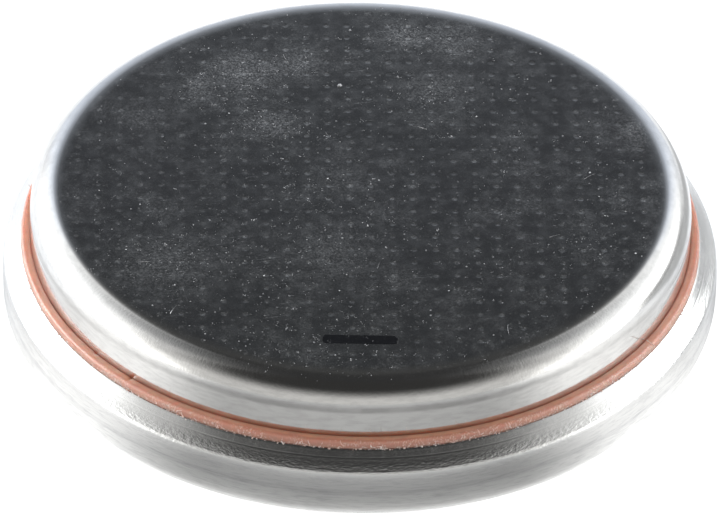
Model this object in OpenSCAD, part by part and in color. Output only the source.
// Lithium coin cell, 24.5 mm across and 5.0 mm tall, cap side up.
// A drawn steel can (the positive pole) is crimped over a moulded gasket. The gasket grips the
// stepped skirt of a drawn steel cap (the negative pole). Inside lie the cathode pellet in its
// contact ring, the separator and the lithium disc, each pressed against the next.
// Millimetres. The origin is the middle of the can's flat underside, and +Z points to the cap.

/* [Cell] */
// Outside diameter of the can
cell_d = 24.5; // [22:0.5:30]
// Height over the two flat faces
cell_h = 5.0; // [4.7:0.1:6]

/* [Positive can] */
// Thickness of the can's sheet
can_wall = 0.25; // [0.2:0.01:0.3]
// Outside radius of the drawn corner round the can's bottom
can_corner_r = 1.0; // [0.7:0.05:1.2]
// Height of the lip's upper edge above the can's underside
lip_z = 2.76; // [2.6:0.02:2.9]
// How far the crimped lip reaches in from the can's side
lip_reach = 0.64; // [0.6:0.01:0.72]
// Slope of the crimped lip, measured from level
lip_slope = 45; // [40:1:50]
// Outside radius of the bend between the side wall and the crimped lip
crimp_bend_r = 0.4; // [0.3:0.05:0.6]

/* [Negative cap] */
// Thickness of the cap's sheet
cap_wall = 0.25; // [0.2:0.01:0.3]
// Outside radius of the shoulder round the flat face
cap_shoulder_r = 1.0; // [0.6:0.05:1.2]
// Outside radius of the hollow bend above the cap's step
step_hollow_r = 0.3; // [0.2:0.02:0.34]
// Steepest tilt of the step, measured from upright
step_tilt = 60; // [50:1:64]

/* [Gasket] */
// Thickness of the gasket between the skirt and the can's side
gasket_side = 0.3; // [0.24:0.01:0.34]
// Thickness of the gasket squeezed between the step and the crimped lip
gasket_crimp = 0.25; // [0.2:0.01:0.3]
// Thickness of the gasket's foot under the edge of the skirt
gasket_foot = 0.35; // [0.25:0.01:0.45]
// How far the gasket's foot reaches in past the skirt
gasket_toe = 0.9; // [0.6:0.05:1.1]
// Width of the bead that shows between the lip and the cap
bead_w = 0.31; // [0.28:0.005:0.34]
// Height of the middle of the bead's round top above the lip's edge
bead_rise = 0.14; // [0.06:0.01:0.24]
// Film of sealant between the gasket and the steel
seal_film = 0.01; // [0.005:0.005:0.03]

/* [Cathode, separator and anode] */
// Height of the pressed cathode pellet
pellet_h = 3.1; // [2.6:0.05:3.3]
// Thickness of the contact ring round the pellet's foot
ring_wall = 0.15; // [0.1:0.01:0.2]
// Height of the contact ring
ring_h = 1.2; // [0.8:0.05:1.6]
// Width of the ring's flange under the pellet
ring_flange = 0.8; // [0.5:0.05:1.2]
// Room between the contact ring and the gasket's foot
ring_room = 0.1; // [0.05:0.01:0.2]
// Thickness of the separator
separator_wall = 0.2; // [0.1:0.02:0.26]
// How far the separator's rim turns down round the pellet
separator_rim = 1.0; // [0.6:0.05:1.4]
// Room between the lithium disc's edge and the start of the cap's shoulder
anode_margin = 0.5; // [0.2:0.05:1]
// Radial room between the pellet and what goes round it
pellet_room = 0.02; // [0.01:0.005:0.04]

/* [Hidden] */
$fn = 180;
steel_color = [0.74, 0.74, 0.72];
gasket_color = [0.80, 0.46, 0.37];
ring_color = [0.62, 0.63, 0.65];
pellet_color = [0.13, 0.13, 0.14];
separator_color = [0.93, 0.93, 0.90];
lithium_color = [0.78, 0.79, 0.82];

// Section points are [distance from the axis, height].
can_r = cell_d / 2;

// Crimped lip: lip_normal points out of the sheet, lip_along runs up the slope to the lip's edge.
lip_normal = [sin(lip_slope), cos(lip_slope)];
lip_along = [-cos(lip_slope), sin(lip_slope)];
lip_edge = [can_r - lip_reach, lip_z];
crimp_r = can_r - crimp_bend_r;
crimp_z = (lip_edge * lip_normal - crimp_bend_r - crimp_r * lip_normal.x) / lip_normal.y;

// Cap: a plain upper wall, an S-shaped step and a wider skirt whose foot stands in the gasket.
upper_r = lip_edge.x - bead_w;
skirt_r = can_r - can_wall - gasket_side;
foot_z = can_wall + gasket_foot;
step_w = skirt_r - upper_r;
step_round_r = step_w / (1 - cos(step_tilt)) - step_hollow_r;
step_round = [
    skirt_r - step_round_r,
    (lip_edge * lip_normal - can_wall - gasket_crimp - step_round_r
        - (skirt_r - step_round_r) * lip_normal.x) / lip_normal.y
];
step_hollow = step_round + (step_round_r + step_hollow_r) * [cos(step_tilt), sin(step_tilt)];
shoulder = [upper_r - cap_shoulder_r, cell_h - cap_shoulder_r];

// Gasket
toe_r = skirt_r - cap_wall - gasket_toe;
bead_in = upper_r + seal_film;
bead_out = lip_edge.x;
bead_r = (bead_out - bead_in) / 2;
bead_z = lip_z + bead_rise;

// Stack inside the can, from its floor to the underside of the cap's face
ring_r = toe_r - ring_room;
pellet_r = ring_r - ring_wall;
pellet_top = can_wall + pellet_h;
separator_top = pellet_top + separator_wall;
separator_r = pellet_r + pellet_room + separator_wall;
anode_r = shoulder.x - anode_margin;
anode_h = cell_h - cap_wall - separator_top;

// Half-section of everything inside the can's outer surface, moved in by inset.
module can_outline(inset) {
    bend_out = [crimp_r, crimp_z] + (crimp_bend_r - inset) * lip_normal;
    edge = lip_edge - inset * lip_normal;
    translate([0, inset])
        square([can_r - can_corner_r, crimp_z - inset]);
    translate([0, can_corner_r])
        square([can_r - inset, crimp_z - can_corner_r]);
    translate([can_r - can_corner_r, can_corner_r])
        circle(can_corner_r - inset);
    translate([crimp_r, crimp_z])
        circle(crimp_bend_r - inset);
    polygon([[0, crimp_z], [crimp_r, crimp_z], bend_out, edge, [0, edge.y]]);
}

// Half-section of everything inside the cap's outer surface, moved out by grow, from base up.
module cap_outline(grow, base) {
    translate([0, base])
        square([skirt_r + grow, step_round.y - base]);
    translate(step_round)
        circle(step_round_r + grow);
    difference() {
        polygon([[0, step_round.y], step_round, step_hollow, [0, step_hollow.y]]);
        translate(step_hollow)
            circle(step_hollow_r - grow);
    }
    translate([0, step_hollow.y])
        square([upper_r + grow, shoulder.y - step_hollow.y]);
    translate(shoulder)
        circle(cap_shoulder_r + grow);
    translate([0, shoulder.y])
        square([shoulder.x, cap_shoulder_r + grow]);
}

// The mouth of the can: the space inside the lip's cut edge.
module can_mouth() {
    inner_edge = lip_edge - can_wall * lip_normal;
    polygon([[0, inner_edge.y], inner_edge, lip_edge, [0, lip_edge.y]]);
}

// Drawn steel cup, its rim crimped inwards over the gasket.
module positive_can() {
    color(steel_color)
        rotate_extrude()
            difference() {
                can_outline(0);
                can_outline(can_wall);
                can_mouth();
            }
}

// Drawn steel cap: flat face, round shoulder, upright wall, step and skirt.
module negative_cap() {
    color(steel_color)
        rotate_extrude()
            difference() {
                cap_outline(0, foot_z);
                cap_outline(-cap_wall, foot_z - cap_wall);
            }
}

// The bead that the crimp squeezes up through the mouth, standing on the lip's cut edge.
module gasket_bead() {
    throat = lip_edge - (can_wall + seal_film) * lip_normal;
    ledge = lip_edge + seal_film * lip_along;
    polygon([
        [bead_in, throat.y], throat, throat + seal_film * lip_along, ledge,
        [bead_out, ledge.y], [bead_out, bead_z], [bead_in, bead_z]
    ]);
    translate([bead_in + bead_r, bead_z])
        circle(bead_r);
}

// Moulded ring: a foot under the skirt, a side wall, and the part folded over the step.
module gasket() {
    color(gasket_color)
        rotate_extrude()
            union() {
                difference() {
                    can_outline(can_wall + seal_film);
                    cap_outline(seal_film, foot_z - seal_film);
                    square([toe_r, foot_z]);
                }
                gasket_bead();
            }
}

// Steel ring pressed round the pellet's foot, which passes the current to the can.
module cathode_ring() {
    color(ring_color)
        translate([0, 0, can_wall])
            difference() {
                cylinder(h = ring_h, r = ring_r);
                translate([0, 0, ring_wall])
                    cylinder(h = ring_h, r = pellet_r + pellet_room);
                translate([0, 0, -ring_wall])
                    cylinder(h = ring_h, r = pellet_r - ring_flange);
            }
}

// Pressed cathode mix, rebated at the foot for the ring's flange.
module cathode_pellet() {
    color(pellet_color)
        translate([0, 0, can_wall]) {
            cylinder(h = pellet_h, r = pellet_r - ring_flange - pellet_room);
            translate([0, 0, ring_wall])
                cylinder(h = pellet_h - ring_wall, r = pellet_r);
        }
}

// Fibre tray over the pellet, its rim turned down.
module separator() {
    color(separator_color)
        difference() {
            translate([0, 0, pellet_top - separator_rim])
                cylinder(h = separator_rim + separator_wall, r = separator_r);
            translate([0, 0, pellet_top - 2 * separator_rim])
                cylinder(h = 2 * separator_rim, r = pellet_r + pellet_room);
        }
}

// Lithium disc pressed against the underside of the cap's face.
module lithium_anode() {
    color(lithium_color)
        translate([0, 0, separator_top])
            cylinder(h = anode_h, r = anode_r);
}

positive_can();
negative_cap();
gasket();
cathode_ring();
cathode_pellet();
separator();
lithium_anode();
